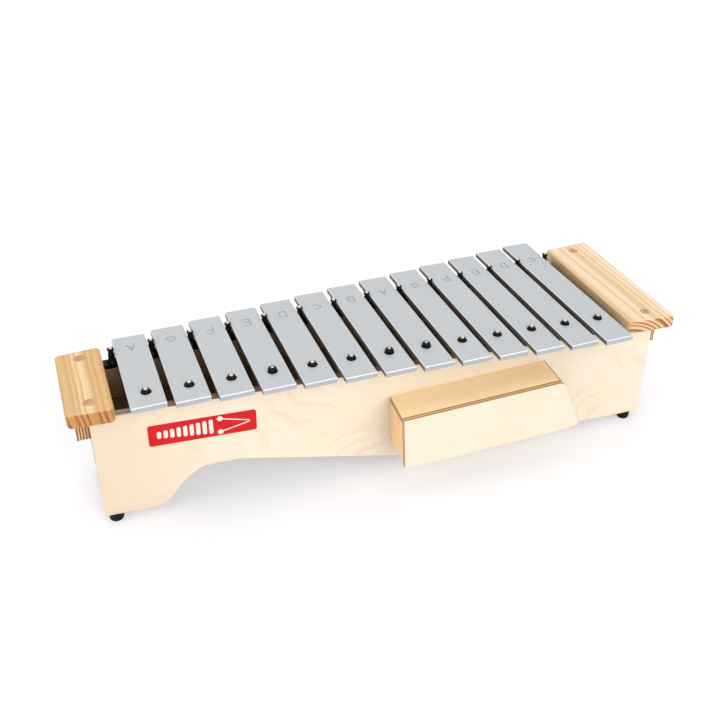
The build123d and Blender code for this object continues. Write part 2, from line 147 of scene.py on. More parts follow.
class Graph:
    """A material's node tree, with short calls for the nodes used here. Lengths are millimetres."""

    def __init__(self, name):
        self.material = bpy.data.materials.new(name)
        self.material.use_nodes = True
        self.tree = self.material.node_tree
        self.tree.nodes.clear()
        coordinates = self.node("ShaderNodeTexCoord")
        self.place = self.vector("SCALE", coordinates.outputs["Object"], scale=1 / MM)
        self.normal = coordinates.outputs["Normal"]

    def node(self, kind, **settings):
        made = self.tree.nodes.new(kind)
        for key, value in settings.items():
            setattr(made, key, value)
        return made

    def put(self, socket, value):
        """Links an output to the socket, or sets the socket's own value."""
        if isinstance(value, bpy.types.NodeSocket):
            self.tree.links.new(value, socket)
        elif value is not None:
            socket.default_value = value

    # ---- arithmetic ----
    def math(self, operation, *values, clamp=False):
        made = self.node("ShaderNodeMath", operation=operation, use_clamp=clamp)
        for socket, value in zip(made.inputs, values):
            self.put(socket, value)
        return made.outputs[0]

    def add(self, first, *others):
        total = first
        for value in others:
            total = self.math("ADD", total, value)
        return total

    def minus(self, a, b):
        return self.math("SUBTRACT", a, b)

    def times(self, a, b):
        return self.math("MULTIPLY", a, b)

    def over(self, a, b):
        return self.math("DIVIDE", a, b)

    def absolute(self, value):
        return self.math("ABSOLUTE", value)

    def vector(self, operation, *values, scale=None):
        made = self.node("ShaderNodeVectorMath", operation=operation)
        for socket, value in zip(made.inputs, values):
            self.put(socket, value)
        if scale is not None:
            made.inputs["Scale"].default_value = scale
        name = "Value" if operation in ("DOT_PRODUCT", "LENGTH") else "Vector"
        return made.outputs[name]

    def combine(self, x, y, z=0.0):
        made = self.node("ShaderNodeCombineXYZ")
        for socket, value in zip(made.inputs, (x, y, z)):
            self.put(socket, value)
        return made.outputs[0]

    def level(self, factor, low, high, out_low=0.0, out_high=1.0):
        """Smooth step of a value from low..high to out_low..out_high."""
        made = self.node("ShaderNodeMapRange", interpolation_type="SMOOTHSTEP")
        for socket, value in zip(made.inputs, (factor, low, high, out_low, out_high)):
            self.put(socket, value)
        return made.outputs["Result"]

    # ---- place and direction on the object ----
    def along(self, axis, start=0.0):
        """Coordinate in millimetres along an axis, counted from start."""
        return self.minus(self.vector("DOT_PRODUCT", self.place, tuple(axis)), start)

    def facing(self, axis):
        """1 where the surface faces along the axis, 0 square to it, -1 the other way."""
        return self.vector("DOT_PRODUCT", self.normal, tuple(axis))

    # ---- texture and colour ----
    def noise(self, vector, size, detail=2.0, rough=0.5, distort=0.0, seed=0.0):
        """Noise with features of about that size, in the units of the vector."""
        made = self.node("ShaderNodeTexNoise", noise_dimensions="4D")
        self.put(made.inputs["Vector"], vector)
        made.inputs["W"].default_value = seed
        made.inputs["Scale"].default_value = 1.0 / size
        made.inputs["Detail"].default_value = detail
        made.inputs["Roughness"].default_value = rough
        made.inputs["Distortion"].default_value = distort
        return made.outputs["Fac"]

    def mix(self, factor, a, b):
        made = self.node("ShaderNodeMix", data_type="RGBA")
        self.put(made.inputs["Factor"], factor)
        self.put(made.inputs["A"], with_alpha(a))
        self.put(made.inputs["B"], with_alpha(b))
        return made.outputs["Result"]

    def bump(self, height, strength, distance):
        made = self.node("ShaderNodeBump")
        made.inputs["Strength"].default_value = strength
        made.inputs["Distance"].default_value = distance * MM
        self.put(made.inputs["Height"], height)
        return made.outputs["Normal"]

    def finish(self, colour, roughness, normal=None, **fixed):
        """Principled surface; fixed values go straight onto its own sockets."""
        shader = self.node("ShaderNodeBsdfPrincipled")
        self.put(shader.inputs["Base Color"], with_alpha(colour))
        self.put(shader.inputs["Roughness"], roughness)
        self.put(shader.inputs["Normal"], normal)
        for key, value in fixed.items():
            shader.inputs[SOCKETS[key]].default_value = value
        output = self.node("ShaderNodeOutputMaterial")
        self.tree.links.new(shader.outputs[0], output.inputs["Surface"])
        return self.material


# ---------------------------------------------------------------- plywood
class Tones:
    """Colours of one sheet of plywood: its face, and the layers seen on its edges."""

    def __init__(self, light, dark, edge_light, edge_dark):
        self.light = light
        self.dark = dark
        self.edge_light = edge_light
        self.edge_dark = edge_dark


BIRCH = Tones(
    light=(0.66, 0.57, 0.448),
    dark=(0.575, 0.44, 0.30),
    edge_light=(0.50, 0.35, 0.21),
    edge_dark=(0.22, 0.12, 0.055),
)
RAIL = Tones(
    light=(0.60, 0.46, 0.30),
    dark=(0.50, 0.33, 0.18),
    edge_light=(0.66, 0.42, 0.21),
    edge_dark=(0.17, 0.07, 0.022),
)
HOLDER_PALE = Tones(
    light=(0.645, 0.552, 0.43),
    dark=(0.595, 0.465, 0.32),
    edge_light=(0.66, 0.43, 0.21),
    edge_dark=(0.35, 0.17, 0.06),
)
HOLDER_HONEY = Tones(
    light=(0.86, 0.625, 0.355),
    dark=(0.75, 0.50, 0.25),
    edge_light=(0.66, 0.42, 0.20),
    edge_dark=(0.27, 0.13, 0.042),
)
HOLDER_SIDE = Tones(
    light=(0.87, 0.585, 0.28),
    dark=(0.77, 0.48, 0.21),
    edge_light=(0.55, 0.34, 0.15),
    edge_dark=(0.22, 0.10, 0.032),
)
# painted shade: the resonator floor inside the box is coloured almost black for the shade it lies in
SHADED_FLOOR = Tones(
    light=(0.13, 0.065, 0.028),
    dark=(0.09, 0.042, 0.017),
    edge_light=(0.16, 0.08, 0.035),
    edge_dark=(0.09, 0.042, 0.017),
)
# raw inside wood, darkened further with painted shade
RAW_SHADED_LIGHT = (0.30, 0.185, 0.095)
RAW_SHADED_DARK = (0.22, 0.13, 0.062)
# painted shade for the front panel's small end
BIRCH_END_SHADE = (0.585, 0.465, 0.33)
FLAW_BROWN = (0.50, 0.24, 0.07)
# painted shade for the front panel's top edge under the bars
TOP_EDGE_SHADE = (0.17, 0.12, 0.085)


def veneer(g, u, v, tones, seed):
    """Rotary-cut birch face with its grain along u: nested pointed figure, fibres, small flecks.

    Returns the colour, and the fibres and flecks, which also shape the surface.
    """
    centre = 45.0 + (seed * 7.0) % 20.0
    rise = g.math("POWER", g.minus(v, centre), 2.0)
    bow = g.times(g.math("SQRT", g.add(rise, 90.0)), 1.15)
    drift = g.noise(g.combine(u, g.times(v, 1.3)), 95.0, detail=1.0, seed=seed)
    ragged = g.noise(g.combine(u, v), 13.0, seed=seed + 1.0)
    path = g.add(u, bow, g.times(drift, 120.0), g.times(ragged, 16.0))
    uneven = g.noise(g.combine(path, 0.0), 60.0, detail=1.0, seed=seed + 2.0)
    ring = g.math("FRACT", g.add(g.over(path, 27.0), g.times(uneven, 1.6)))
    line = g.times(g.level(ring, 0.45, 0.86), g.level(ring, 0.88, 1.0, 1.0, 0.0))
    patch = g.noise(g.combine(u, v, seed), 48.0, detail=1.0, seed=seed + 3.0)
    flame = g.times(line, g.level(patch, 0.40, 0.68, 0.10, 1.0))
    cloud = g.noise(g.combine(u, g.times(v, 2.0)), 60.0, rough=0.55, distort=0.2, seed=seed + 9.0)
    fibre = g.noise(g.combine(g.times(u, 0.05), v), 0.9, detail=3.0, rough=0.6, seed=seed + 5.0)
    fleck = g.noise(g.combine(g.times(u, 0.25), v), 0.55, rough=0.7, seed=seed + 7.0)
    tone = g.add(g.times(flame, 0.44), g.times(g.level(cloud, 0.42, 0.72), 0.20))
    tone = g.add(tone, g.times(g.level(fibre, 0.42, 0.66), 0.10))
    tone = g.math("ADD", tone, g.times(g.level(fleck, 0.62, 0.75), 0.12), clamp=True)
    return g.mix(tone, tones.light, tones.dark), fibre, fleck


def ply_layers(g, u, v, w, thickness, plies, tones, seed):
    """Edge of the sheet: an odd number of layers along w, light and dark in turn, with glue lines."""
    wobble = g.noise(g.combine(g.times(u, 0.2), g.times(v, 0.2)), 3.0, detail=1.0, seed=seed)
    shifted = g.add(w, g.times(g.minus(wobble, 0.5), 0.25))
    phase = g.times(g.add(g.over(shifted, thickness), 0.5), plies - 1.0)
    layer = g.level(g.math("PINGPONG", phase, 1.0), 0.35, 0.65)
    glue = g.level(g.math("PINGPONG", phase, 0.5), 0.40, 0.5, 0.0, 0.5)
    pores = g.noise(g.combine(u, v, g.times(w, 0.5)), 0.7, detail=3.0, rough=0.7, seed=seed + 2.0)
    streak = g.noise(g.combine(g.times(u, 0.08), g.times(v, 0.08), w), 0.5, rough=0.6, seed=seed + 4.0)
    grain = g.mix(layer, g.level(streak, 0.3, 0.7), g.level(pores, 0.35, 0.65))
    base = g.mix(layer, tones.edge_light, tones.edge_dark)
    base = g.mix(g.times(grain, 0.35), base, tones.edge_dark)
    return g.mix(glue, base, tones.edge_dark)


def plywood(node, across, along, plies, tones, seed, inner=None, marks=None):
    """Plywood for one board: across is its thickness direction, along its face grain.

    A board with an inner face has it on the side given by inner (1 or -1): raw wood, darkened further with
    painted shade inside the box.
    """
    g = Graph(node + "_ply")
    low, high = (value / MM for value in span(node, across))
    thickness = high - low
    up = across.cross(along)
    start = Vector(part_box(node)[0])
    u = g.along(along, start.dot(along) / MM)
    v = g.along(up, start.dot(up) / MM)
    w = g.along(across, (low + high) / 2)
    face, fibre, fleck = veneer(g, u, v, tones, seed)
    if inner:
        # painted shade: the inner face is raw wood made darker for the shade inside the box
        raw_and_shaded = g.mix(g.level(fibre, 0.4, 0.6), RAW_SHADED_LIGHT, RAW_SHADED_DARK)
        face = g.mix(g.level(g.facing(across * inner), 0.5, 0.9), face, raw_and_shaded)
    edge = ply_layers(g, u, v, w, thickness, plies, tones, seed)
    depth = g.minus(thickness / 2, g.absolute(w))
    on_edge = g.level(depth, 0.35, 0.55)
    colour = g.mix(on_edge, face, edge)
    if marks:
        colour = marks(g, colour)
    normal = g.bump(g.add(g.times(fibre, 0.5), g.times(fleck, 0.5)), 0.25, 0.08)
    roughness = g.add(0.42, g.times(on_edge, 0.25), g.times(fleck, 0.08))
    return g.finish(colour, roughness, normal, coat=0.12, coat_roughness=0.25)


def stretched_distance(g, u, v, turn, long_r, short_r):
    """Distance from 0 that is 1 on an ellipse with those radii, turned by that angle."""
    p = g.add(g.times(u, math.cos(turn)), g.times(v, math.sin(turn)))
    q = g.minus(g.times(v, math.cos(turn)), g.times(u, math.sin(turn)))
    return g.vector("LENGTH", g.combine(g.over(p, long_r), g.over(q, short_r)))


def front_face_marks(g, colour):
    """Painted shade, darker and warmer, near the panel's small end, a brown flaw beside the arch and painted
    shade on its top edge under the bars.
    """
    place = g.along(FRONT_ALONG, FRONT_PINS[0].dot(FRONT_ALONG) / MM)
    # painted shade: the panel is darkened and warmed towards its small end
    colour = g.mix(g.level(place, -60.0, 90.0, 0.9, 0.0), colour, BIRCH_END_SHADE)
    flaw = stretched_distance(g, g.minus(place, 38.0), g.along(UP, 41.0), math.radians(24), 8.0, 1.7)
    ragged = g.add(flaw, g.times(g.noise(g.place, 2.0, rough=0.6, seed=4.0), 0.5))
    colour = g.mix(g.level(ragged, 0.8, 1.3, 0.85, 0.0), colour, FLAW_BROWN)
    # painted shade: faces of the panel that face up, its top edge under the bars, are darkened
    return g.mix(g.level(g.facing(UP), 0.7, 0.95, 0.0, 0.5), colour, TOP_EDGE_SHADE)


# ---------------------------------------------------------------- solid wood
class Pine:
    """Colours of one block of solid pine, and its rings: their centre (x, z) and spacing in mm.

    The centre is counted from the block's own middle.
    """

    def __init__(self, early, late, streak, end_early, end_late, pith, spacing):
        self.early = early
        self.late = late
        self.streak = streak
        self.end_early = end_early
        self.end_late = end_late
        self.pith = pith
        self.spacing = spacing


PINE_LEFT = Pine(
    early=(0.55, 0.335, 0.13),
    late=(0.43, 0.21, 0.06),
    streak=(0.66, 0.47, 0.25),
    end_early=(0.45, 0.20, 0.046),
    end_late=(0.23, 0.075, 0.012),
    pith=(-150.0, -25.0),
    spacing=6.0,
)
PINE_RIGHT = Pine(
    early=(0.65, 0.475, 0.29),
    late=(0.53, 0.30, 0.115),
    streak=(0.71, 0.585, 0.425),
    end_early=(0.62, 0.40, 0.195),
    end_late=(0.22, 0.075, 0.018),
    pith=(-30.0, -46.0),
    spacing=4.6,
)


def solid_pine(name, node, pine, seed):
    """Pine with its grain along Y: late wood lines and pale streaks on its sides, rings on its ends."""
    g = Graph(name)
    low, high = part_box(node)
    middle = (low + high) / 2 / MM
    x = g.along(X_AXIS, middle.x)
    y = g.along(Y_AXIS, middle.y)
    z = g.along(UP, middle.z)
    sway = g.noise(g.combine(0.0, y, g.times(x, 0.3)), 90.0, seed=seed)
    dx = g.add(g.minus(x, pine.pith[0]), g.times(g.minus(sway, 0.5), 4.0))
    dz = g.minus(z, pine.pith[1])
    radius = g.vector("LENGTH", g.combine(dx, dz))
    uneven = g.noise(g.combine(radius, 0.0), pine.spacing * 2.2, detail=1.0, seed=seed + 1.0)
    saw = g.math("FRACT", g.add(g.over(radius, pine.spacing), g.times(uneven, 2.4)))
    late = g.times(g.level(saw, 0.30, 0.86), g.level(saw, 0.93, 0.99, 1.0, 0.0))
    bands = g.noise(g.combine(radius, g.times(y, 0.01)), pine.spacing * 3.0, detail=1.0, seed=seed + 2.0)
    fibre = g.noise(g.combine(x, g.times(y, 0.02), z), 0.8, detail=3.0, rough=0.6, seed=seed + 4.0)
    fleck = g.noise(g.combine(x, g.times(y, 0.12), z), 0.6, rough=0.6, seed=seed + 5.0)
    pores = g.noise(g.combine(x, z), 0.5, rough=0.7, seed=seed + 6.0)
    side = g.mix(g.level(bands, 0.42, 0.62), pine.early, pine.streak)
    side = g.mix(g.times(late, 0.62), side, pine.late)
    side = g.mix(g.times(g.level(fibre, 0.45, 0.68), 0.22), side, pine.late)
    end = g.mix(late, pine.end_early, pine.end_late)
    end = g.mix(g.times(g.level(pores, 0.5, 0.7), 0.3), end, pine.end_late)
    colour = g.mix(g.level(g.absolute(g.facing(Y_AXIS)), 0.45, 0.9), side, end)
    normal = g.bump(g.add(g.times(late, 0.5), g.times(fleck, 0.5)), 0.25, 0.08)
    roughness = g.minus(0.46, g.times(late, 0.10))
    return g.finish(colour, roughness, normal, coat=0.15, coat_roughness=0.22)


def plug_wood():
    """Cross-cut beech plug set flush in the block, with its own short grain."""
    g = Graph("plug_wood")
    x = g.along(Vector((0.90, 0.43, 0)))
    y = g.along(Vector((-0.43, 0.90, 0)))
    bands = g.noise(g.combine(g.times(x, 0.22), y), 1.5, rough=0.6, distort=0.4, seed=2.0)
    pores = g.noise(g.combine(g.times(x, 0.4), y), 0.4, rough=0.7, seed=4.0)
    colour = g.mix(g.level(bands, 0.35, 0.65), (0.50, 0.29, 0.135), (0.33, 0.145, 0.055))
    colour = g.mix(g.times(g.level(pores, 0.55, 0.7), 0.5), colour, (0.24, 0.10, 0.045))
    return g.finish(colour, 0.5, g.bump(pores, 0.3, 0.08), coat=0.1)


# ---------------------------------------------------------------- metal, rubber, plastic
BAR_FACE = ((0.395, 0.412, 0.428), (0.425, 0.444, 0.460))
BAR_SMEAR = (0.408, 0.425, 0.440)
# sawn end faces of the bars, partly sawn tone and partly painted shade
BAR_END_SAWN_AND_SHADED = ((0.32, 0.332, 0.342), (0.37, 0.382, 0.392))
# painted shade for the bars' long side faces
BAR_SIDE_SHADE = ((0.105, 0.10, 0.095), (0.14, 0.137, 0.13))
# painted highlight for the bars' chamfered top edges
BAR_ARRIS_HIGHLIGHT = (0.74, 0.75, 0.76)
# colour of the stamped letters' floors: dirt and painted shade
BAR_LETTER_DIRT_AND_SHADE = (0.325, 0.335, 0.343)
RUBBER_BLACK = ((0.0025, 0.0025, 0.0027), (0.006, 0.006, 0.0062))
PIN_TONES = ((0.57, 0.50, 0.42), (0.45, 0.375, 0.295))
ZINC_TONES = ((0.50, 0.51, 0.52), (0.66, 0.66, 0.64))
RED_TONES = ((0.50, 0.011, 0.014), (0.46, 0.008, 0.010))
CREAM_TONES = ((0.63, 0.60, 0.545), (0.57, 0.535, 0.475))
SHEET_TONES = ((0.445, 0.445, 0.455), (0.455, 0.455, 0.465))
SHEET_GLOW = (1.0, 0.985, 0.995, 1.0)


def bar_metal():
    """Bead-blasted, lacquered aluminium, with a painted highlight on the arrises, painted shade on the long
    sides, sawn ends darkened partly by painted shade, and stamped letters darkened by dirt and painted
    shade.
    """
    g = Graph("bar_metal")
    drawn_out = g.vector("MULTIPLY", g.place, (1.0, 0.012, 1.0))
    sawn_across = g.vector("MULTIPLY", g.place, (0.02, 0.02, 1.0))
    drawn = g.noise(drawn_out, 0.6, detail=3.0, rough=0.6, seed=1.0)
    sawn = g.noise(sawn_across, 0.25, rough=0.6, seed=4.0)
    blast = g.noise(g.place, 0.28, rough=0.6, seed=2.0)
    smear = g.noise(g.place, 28.0, detail=3.0, rough=0.6, distort=0.5, seed=3.0)
    upright = g.facing(UP)
    cut = g.level(g.absolute(upright), 0.10, 0.30, 1.0, 0.0)
    side_shade_mask = g.absolute(g.facing(X_AXIS))
    face = g.mix(g.level(drawn, 0.30, 0.70), *BAR_FACE)
    face = g.mix(g.level(smear, 0.3, 0.7, 0.0, 0.35), face, BAR_SMEAR)
    # sawn ends: their own sawn texture, darkened partly by painted shade
    end = g.mix(g.level(sawn, 0.3, 0.7), *BAR_END_SAWN_AND_SHADED)
    # painted shade: the long side faces get a near-black copy of the metal
    side = g.mix(g.level(sawn, 0.3, 0.7), *BAR_SIDE_SHADE)
    colour = g.mix(cut, face, g.mix(g.level(side_shade_mask, 0.85, 0.98), end, side))
    # painted highlight: the chamfers along the top edges are coloured bright
    arris_highlight = g.times(g.level(upright, 0.45, 0.6), g.level(upright, 0.85, 0.95, 1.0, 0.0))
    colour = g.mix(g.times(arris_highlight, 0.75), colour, BAR_ARRIS_HIGHLIGHT)
    # dirt and painted shade: the floors of the stamped letters are darkened
    depth = g.minus(BAR_TOP / MM, g.along(UP))
    sunk_dirt_and_shade = g.times(g.level(depth, 0.08, 0.2), g.level(upright, 0.8, 0.95))
    sunk_dirt_and_shade = g.times(sunk_dirt_and_shade, g.level(depth, 0.5, 0.6, 1.0, 0.0))
    colour = g.mix(sunk_dirt_and_shade, colour, BAR_LETTER_DIRT_AND_SHADE)
    height = g.add(g.times(drawn, 0.4), g.times(blast, 0.6), g.times(g.times(sawn, cut), 0.6))
    normal = g.bump(height, 0.22, 0.04)
    roughness = g.add(0.44, g.times(smear, 0.12), g.times(cut, 0.1))
    return g.finish(colour, roughness, normal, metallic=0.3, coat=0.1, coat_roughness=0.35)


def black_rubber():
    g = Graph("black_rubber")
    mottle = g.noise(g.place, 1.4, detail=3.0, rough=0.6, seed=1.0)
    grain = g.noise(g.place, 0.25, rough=0.6, seed=2.0)
    colour = g.mix(g.level(mottle, 0.4, 0.7), *RUBBER_BLACK)
    roughness = g.add(0.34, g.times(mottle, 0.16))
    return g.finish(colour, roughness, g.bump(grain, 0.2, 0.05), specular=0.11)


def pin_metal():
    g = Graph("pin_metal")
    scuff = g.noise(g.place, 0.7, detail=3.0, rough=0.6, distort=0.2, seed=3.0)
    colour = g.mix(g.level(scuff, 0.35, 0.7), *PIN_TONES)
    roughness = g.add(0.22, g.times(scuff, 0.2))
    return g.finish(colour, roughness, g.bump(scuff, 0.1, 0.05), metallic=0.35)


def zinc_steel():
    g = Graph("zinc_steel")
    spangle = g.noise(g.place, 0.9, detail=3.0, rough=0.6, distort=0.3, seed=5.0)
    colour = g.mix(spangle, *ZINC_TONES)
    roughness = g.add(0.25, g.times(spangle, 0.2))
    return g.finish(colour, roughness, metallic=1.0)


def badge_red():
    g = Graph("badge_red")
    tone = g.noise(g.place, 9.0, seed=1.0)
    peel = g.noise(g.place, 0.8, seed=2.0)
    colour = g.mix(g.level(tone, 0.3, 0.7), *RED_TONES)
    roughness = g.add(0.28, g.times(peel, 0.1))
    return g.finish(colour, roughness, g.bump(peel, 0.08, 0.03), specular=0.12)


def print_cream():
    g = Graph("print_cream")
    tone = g.noise(g.place, 1.2, seed=6.0)
    colour = g.mix(g.level(tone, 0.3, 0.7), *CREAM_TONES)
    return g.finish(colour, 0.4, g.bump(tone, 0.1, 0.03))


def studio_white():
    """White sheet of a light table: it glows a little, so that shadows on it stay pale."""
    g = Graph("studio_white")
    tone = g.noise(g.place, 900.0, detail=1.0, seed=1.0)
    colour = g.mix(tone, *SHEET_TONES)
    return g.finish(colour, 0.9, specular=0.1, glow_colour=SHEET_GLOW, glow=0.445)


# ---------------------------------------------------------------- new meshes
def new_piece(name, mesh, material, body=BODY):
    """Puts a new mesh in the scene; it rides on the body, or on none when body is None."""
    piece = bpy.data.objects.new(name, mesh)
    bpy.context.scene.collection.objects.link(piece)
    mesh.materials.append(material)
    if body:
        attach(piece, body)
    return piece


def rounded_profile(points, steps=5):
    """Points (radius, height, corner radius) with each corner replaced by a short curve."""
    made = []
    count = len(points)
    for i, (r, z, corner) in enumerate(points):
        here = Vector((r, z))
        if corner <= 0:
            made.append(here)
            continue
        before = Vector(points[i - 1][:2]) - here
        after = Vector(points[(i + 1) % count][:2]) - here
        start = here + before.normalized() * min(corner, before.length * 0.49)
        end = here + after.normalized() * min(corner, after.length * 0.49)
        for k in range(steps + 1):
            t = k / steps
            made.append(start * (1 - t) ** 2 + here * 2 * t * (1 - t) + end * t * t)
    return made


def lathe(bm, profile, centre, closed, segments=40):
    """Adds one turned body. A closed profile makes a tube; an open one starts and ends on the axis."""
    rings = []
    for point in profile:
        if point.x < 1e-7:
            rings.append([bm.verts.new((centre.x, centre.y, point.y))])
            continue
        ring = []
        for k in range(segments):
            angle = 2 * math.pi * k / segments
            x = centre.x + point.x * math.cos(angle)
            y = centre.y + point.x * math.sin(angle)
            ring.append(bm.verts.new((x, y, point.y)))
        rings.append(ring)
    pairs = list(zip(rings, rings[1:]))
    if closed:
        pairs.append((rings[-1], rings[0]))
    for lower, upper in pairs:
        for k in range(segments):
            n = (k + 1) % segments
            below = [lower[k % len(lower)], lower[n % len(lower)]]
            above = [upper[n % len(upper)], upper[k % len(upper)]]
            bm.faces.new(list(dict.fromkeys(below + above)))


def turned_piece(name, bodies, material, node):
    """Makes one piece of turned bodies, given as (profile, centre, closed), in place of a CAD node."""
    bm = bmesh.new()
    for profile, centre, closed in bodies:
        lathe(bm, profile, centre, closed)
    bmesh.ops.recalc_face_normals(bm, faces=bm.faces)
    mesh = bpy.data.meshes.new(name)
    bm.to_mesh(mesh)
    bm.free()
    for polygon in mesh.polygons:
        polygon.use_smooth = True
    piece = new_piece(name, mesh, material)
    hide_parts(node)


def scaled(points):
    """Profile points given in mm from the bars' top face, as metres in the shared frame."""
    return [Vector((p.x * MM, BAR_TOP + p.y * MM)) for p in points]


# ---------------------------------------------------------------- sleeves and pins
# Each point of a profile is a radius, a height over the bars' top face and a corner radius, in mm.
REAR_SLEEVE = (
    (1.3, -15.0, 0.0),
    (2.2, -15.0, 0.0),
    (2.2, -10.85, 0.0),
    (5.2, -10.7, 0.3),
    (4.4, -9.4, 1.3),
    (3.0, -8.0, 2.0),
    (2.95, -3.2, 1.5),
    (2.25, -0.2, 1.2),
    (2.3, 0.8, 0.3),
    (3.12, 1.5, 0.3),
    (3.12, 2.9, 0.3),
    (2.8, 3.38, 0.3),
    (1.3, 3.1, 0.0),
)
FRONT_BUSH = (
    (1.3, -15.0, 0.0),
    (5.5, -15.0, 0.4),
    (5.5, -9.0, 1.5),
    (6.5, -7.0, 1.0),
    (6.5, -5.0, 0.5),
    (3.9, -5.0, 0.0),
)
FRONT_COLLAR = (
    (3.9, 0.05, 0.1),
    (4.1, 0.4, 0.3),
    (4.0, 1.3, 0.3),
    (3.62, 1.5, 0.15),
    (3.5, 2.2, 0.8),
    (2.8, 3.25, 0.6),
    (2.1, 3.0, 0.2),
    (1.3, 2.4, 0.0),
)
FRONT_DOME = (
    (3.6, 0.05, 0.1),
    (3.75, 0.3, 0.2),
    (4.05, 1.6, 1.2),
    (3.9, 3.3, 1.5),
    (2.6, 4.6, 1.0),
    (1.6, 4.5, 0.2),
    (1.3, 3.6, 0.0),
)


def rear_sleeves(material):
    """Rubber tubes that spread onto the strip, fill the gap between bars and flare above them."""
    profile = scaled(rounded_profile(REAR_SLEEVE))
    bodies = [(profile, place, True) for place in REAR_PINS]
    turned_piece("rear_post_rubbers", bodies, material, "rear_sleeves")


def front_sleeves(material):
    """Rubber bushes under the bars, each with a stepped collar or a dome above the bar."""
    bodies = []
    for index, place in enumerate(FRONT_PINS):
        top = FRONT_DOME if index in CAPPED else FRONT_COLLAR
        bodies.append((scaled(rounded_profile(FRONT_BUSH + top)), place, True))
    turned_piece("front_pin_rubbers", bodies, material, "front_sleeves")


def pin_profile(head_radius, shoulder, top):
    """Straight pin with a low domed head, from its point in the wood up to its top."""
    stem = 1.15
    under = shoulder - 0.6
    edge = shoulder + 0.45 * (top - shoulder)
    return rounded_profile(
        (
            (0.0, -34.0, 0.0),
            (stem, -32.5, 0.5),
            (stem, under, 0.0),
            (head_radius, under, 0.2),
            (head_radius, edge, 0.6),
            (head_radius * 0.62, top, 0.9),
            (0.0, top, 0.0),
        )
    )


def pins(material):
    """Both rows of pins. A front pin with a rubber dome has a narrower and flatter head."""
    plain_pin = scaled(pin_profile(head_radius=1.95, shoulder=2.9, top=4.5))
    capped_pin = scaled(pin_profile(head_radius=1.6, shoulder=4.2, top=4.95))
    rear_pin = scaled(pin_profile(head_radius=1.7, shoulder=3.2, top=4.6))
    front = []
    for index, place in enumerate(FRONT_PINS):
        front.append((capped_pin if index in CAPPED else plain_pin, place, False))
    rear = [(rear_pin, place, False) for place in REAR_PINS]
    turned_piece("front_pin_row", front, material, "front_pins")
    turned_piece("rear_pin_row", rear, material, "rear_pins")


# ---------------------------------------------------------------- sticker print
def flat_shape(bm, outline, matrix, thickness):
    """Adds a thin flat prism with that outline to the mesh; its lengths are mm."""
    low = [bm.verts.new(matrix @ (Vector((x, y, 0)) * MM)) for x, y in outline]
    high = [bm.verts.new(matrix @ (Vector((x, y, thickness)) * MM)) for x, y in outline]
    bm.faces.new(list(reversed(low)))
    bm.faces.new(high)
    for k in range(len(outline)):
        n = (k + 1) % len(outline)
        bm.faces.new([low[k], low[n], high[n], high[k]])


def pill(cx, cy, width, height, turn=0.0, steps=8):
    """Outline of a bar with round ends, turned about its middle (cx, cy)."""
    radius = min(width, height) / 2
    half_x = width / 2 - radius
    half_y = height / 2 - radius
    outline = []
    for quadrant in range(4):
        sx = 1 if quadrant in (0, 3) else -1
        sy = 1 if quadrant in (0, 1) else -1
        for k in range(steps + 1):
            angle = (quadrant + k / steps) * math.pi / 2
            x = sx * half_x + radius * math.cos(angle)
            y = sy * half_y + radius * math.sin(angle)
            turned_x = cx + x * math.cos(turn) - y * math.sin(turn)
            turned_y = cy + x * math.sin(turn) + y * math.cos(turn)
            outline.append((turned_x, turned_y))
    return outline


def badge_matrix():
    """From the sticker's own plane, x along it and y up, to the middle of its outer face."""
    low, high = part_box("badge")
    face = span("badge", FRONT_OUT)[1]
    middle = (low + high) / 2
    centre = middle + FRONT_OUT * (face - middle.dot(FRONT_OUT))
    across = Matrix((FRONT_ALONG, UP, FRONT_OUT)).transposed().to_4x4()
    return Matrix.Translation(centre) @ across @ Matrix.Rotation(BADGE_TILT, 4, "Z")


def badge_print(material):
    """A plain picture of a row of tone bars with a pair of beaters, printed on the sticker."""
    matrix = badge_matrix()
    bm = bmesh.new()
    for k in range(PRINTED_BARS):
        x = PRINTED_FIRST_X + PRINTED_STEP * k
        length = PRINTED_SHORTEST + PRINTED_GROWTH * k
        flat_shape(bm, pill(x, 0, PRINTED_WIDTH, length), matrix, PRINT_THICK)
    for side in (-1, 1):
        turn = -side * STICK_TURN
        stick = Vector((STICK_X, side * STICK_Y))
        head = stick - Vector((math.cos(turn), math.sin(turn))) * STICK_LENGTH / 2
        flat_shape(bm, pill(stick.x, stick.y, STICK_LENGTH, STICK_WIDTH, turn), matrix, PRINT_THICK)
        flat_shape(bm, pill(head.x, head.y, STICK_HEAD, STICK_HEAD), matrix, STICK_HEAD_THICK)
    mesh = bpy.data.meshes.new("badge_print")
    bm.to_mesh(mesh)
    bm.free()
    piece = new_piece("badge_print", mesh, material)


